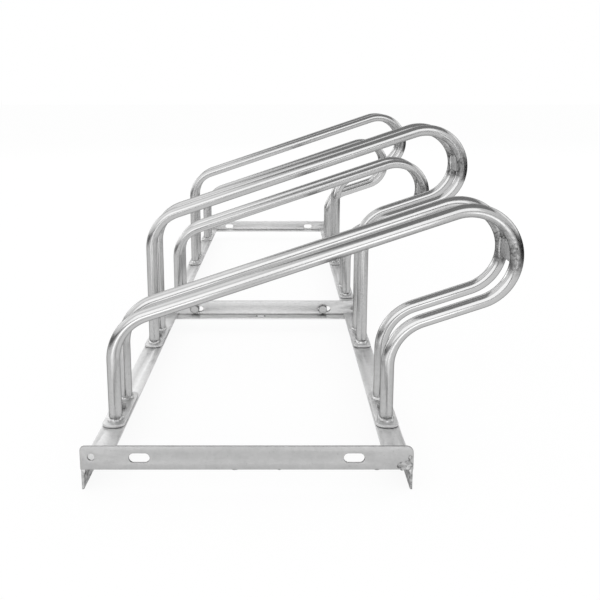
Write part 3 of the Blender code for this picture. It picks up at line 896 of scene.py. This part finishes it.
# Foot bolts: an M8 hexagon bolt down through each foot plate and rail, with its nut under the rail's flange.
# Each pair is left at another angle, as a spanner leaves them.
FOOT_ACROSS = 0.013
FOOT_HEAD = 0.0053
FOOT_DIAMETER = 0.008
FOOT_SHANK = 0.0169
FOOT_NUT = 0.0065
foot_bolt, foot_nut = bolt_and_nut("foot", FOOT_ACROSS, FOOT_HEAD, FOOT_DIAMETER, FOOT_SHANK, FOOT_NUT)
for place in PLACES:
    for number, side in enumerate(("left", "right")):
        turn = Matrix.Rotation(radians(11 + 23 * place + 17 * number), 4, "Z")
        low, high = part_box(f"place_{place}_{side}_bolt")
        middle = middle_of(low, high)
        seat = (middle[0], middle[1], high[2] - FOOT_HEAD)
        set_down(foot_bolt, f"place_{place}_{side}", "bolt", seat, turn)
        low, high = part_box(f"place_{place}_{side}_nut")
        set_down(foot_nut, f"place_{place}_{side}", "nut", (middle[0], middle[1], high[2]), turn)
put_away((foot_bolt, foot_nut))

# Welds: a bead round the foot of every post, two at each end of a nose plate, and four on each rail, where
# it meets the end pieces. The zinc over them is dull and lumpy.
RING_RADIUS = 0.0086
RING_THICKNESS = 0.0025
RING_STRETCH = 1.3  # upwards
RING_ABOVE_PLATE = 0.0003
TAIL_STEPS = 4
TAIL_START = 0.004
TAIL_STEP = 0.0026
TAIL_PULL = 0.0014
RING_LUMPS = 0.0020
BEAD_LUMPS = 0.0014
NOSE_BEAD = (0.004, 0.0045, 0.026)
NOSE_BEAD_OFF_MIDDLE = 0.0024
NOSE_BEAD_FROM_END = 0.0006
TOP_BEAD = (0.028, 0.0040, 0.0036)
LEG_BEAD = (0.0036, 0.0040, 0.011)
LEG_BEAD_BEHIND_END = 0.0003
LEG_BEAD_Z = 0.0265
FLANGE_BEAD = (0.0040, 0.024, 0.0036)
FLANGE_BEAD_BEHIND_EDGE = 0.012
FLANGE_BEAD_BELOW_TOP = 0.0272
rough_zinc = zinc("rough_zinc_on_welds", grey=0.65, roughness=0.38, cloudiness=0.28, spangle=0.07,
                  waviness=0.7)
lumps = bpy.data.textures.new("weld_lumps", "CLOUDS")
lumps.noise_scale = 0.0042
lumps.noise_depth = 1


def roughen(bead, strength):
    """Makes a smooth bead lumpy."""
    apply_modifier(bead, "DISPLACE", texture=lumps, texture_coords="LOCAL", strength=strength, mid_level=0.5)


def ring_bead(place, outward):
    """Fillet weld round a tube that stands on a plate, drawn out towards the plate's end."""
    deselect()
    bpy.ops.mesh.primitive_torus_add(major_segments=56, minor_segments=12, major_radius=RING_RADIUS,
                                     minor_radius=RING_THICKNESS, location=place)
    bead = keep_in_mesh("ring_bead", (1, 1, RING_STRETCH))
    edit("verts")
    for step in range(TAIL_STEPS):
        pick("verts", lambda corner: (corner.y - place[1]) * outward > TAIL_START + TAIL_STEP * step)
        bpy.ops.transform.translate(value=(0, outward * TAIL_PULL, 0))
    deselect()
    roughen(bead, RING_LUMPS)
    return bead


def straight_bead(place, size, strength=BEAD_LUMPS):
    """Bead with tapered ends, along its longest side."""
    deselect()
    bpy.ops.mesh.primitive_uv_sphere_add(segments=20, ring_count=16, radius=0.5, location=place)
    bead = keep_in_mesh("straight_bead", size)
    roughen(bead, strength)
    return bead


for place in PLACES:
    beads = []
    for side in ("left", "right"):
        low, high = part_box(f"place_{place}_{side}_foot_plate")
        post_x = (low[0] + high[0]) / 2
        for which, outward in (("near", -1), ("far", 1)):
            hoop_low, hoop_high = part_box(f"place_{place}_{which}_hoop")
            post_y = (hoop_low[1] + hoop_high[1]) / 2
            beads.append(ring_bead((post_x, post_y, high[2] + RING_ABOVE_PLATE), outward))
    low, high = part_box(f"place_{place}_nose_plate")
    middle = middle_of(low, high)
    for y in (low[1] + NOSE_BEAD_FROM_END, high[1] - NOSE_BEAD_FROM_END):
        for direction in (-1, 1):
            x = middle[0] + direction * NOSE_BEAD_OFF_MIDDLE
            beads.append(straight_bead((x, y, middle[2]), NOSE_BEAD))
    welds = join(beads, f"place_{place}_welds")
    finish_piece(welds, rough_zinc, "galvanised_flat_bar")

for frame_name in ("near_frame", "far_frame"):
    angle_low, angle_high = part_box(frame_name + "_back_angle")
    flange_bead_y = angle_low[1] + FLANGE_BEAD_BEHIND_EDGE
    flange_bead_z = angle_high[2] - FLANGE_BEAD_BELOW_TOP
    beads = []
    for side in ("left", "right"):
        low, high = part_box(f"{frame_name}_{side}_rail")
        inner, outward = (high[0], -1) if side == "left" else (low[0], 1)
        middle_x = (low[0] + high[0]) / 2
        leg_x = inner + outward * (high[0] - low[0] - RAIL_WALL)
        beads.append(straight_bead((middle_x, low[1], high[2]), TOP_BEAD))
        beads.append(straight_bead((middle_x, high[1], high[2]), TOP_BEAD))
        beads.append(straight_bead((leg_x, low[1] + LEG_BEAD_BEHIND_END, LEG_BEAD_Z), LEG_BEAD))
        beads.append(straight_bead((inner, flange_bead_y, flange_bead_z), FLANGE_BEAD))
    welds = join(beads, frame_name + "_corner_welds")
    finish_piece(welds, rough_zinc, "galvanised_angle")

# Run-off of zinc on the near plate: a rough patch at its lower right corner and a few hardened drops at its
# lower edge.
DROP_BEHIND_FACE = 0.0012
DROP_ABOVE_EDGE = 0.0001
DROP_DEPTH = 0.0030
DROP_HEIGHT = 0.0018
DROP_LUMPS = 0.0007
low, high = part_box("near_frame_front_plate")
drops = []
for from_end, behind_face, above_edge, size, strength in (
        (0.0130, 0.0006, 0.0050, (0.0140, 0.0034, 0.0120), 0.0024),
        (0.0062, 0.0006, 0.0056, (0.0120, 0.0034, 0.0130), 0.0024),
        (0.0042, 0.0008, 0.0145, (0.0060, 0.0026, 0.0090), 0.0014)):
    place = (high[0] - from_end, low[1] + behind_face, low[2] + above_edge)
    drops.append(straight_bead(place, size, strength))
for x, width in ((-0.0935, 0.0080), (0.0767, 0.0075), (-0.0400, 0.0040)):
    place = (x, low[1] + DROP_BEHIND_FACE, low[2] + DROP_ABOVE_EDGE)
    drops.append(straight_bead(place, (width, DROP_DEPTH, DROP_HEIGHT), DROP_LUMPS))
run_off = join(drops, "near_frame_zinc_run_off")
mark_dull_zinc_and_painted_shade(run_off, lambda at, normal: 0.9 if at.y > low[1] - 0.0004 else 0.45)
finish_piece(run_off, rough_zinc, "galvanised_flat_bar")
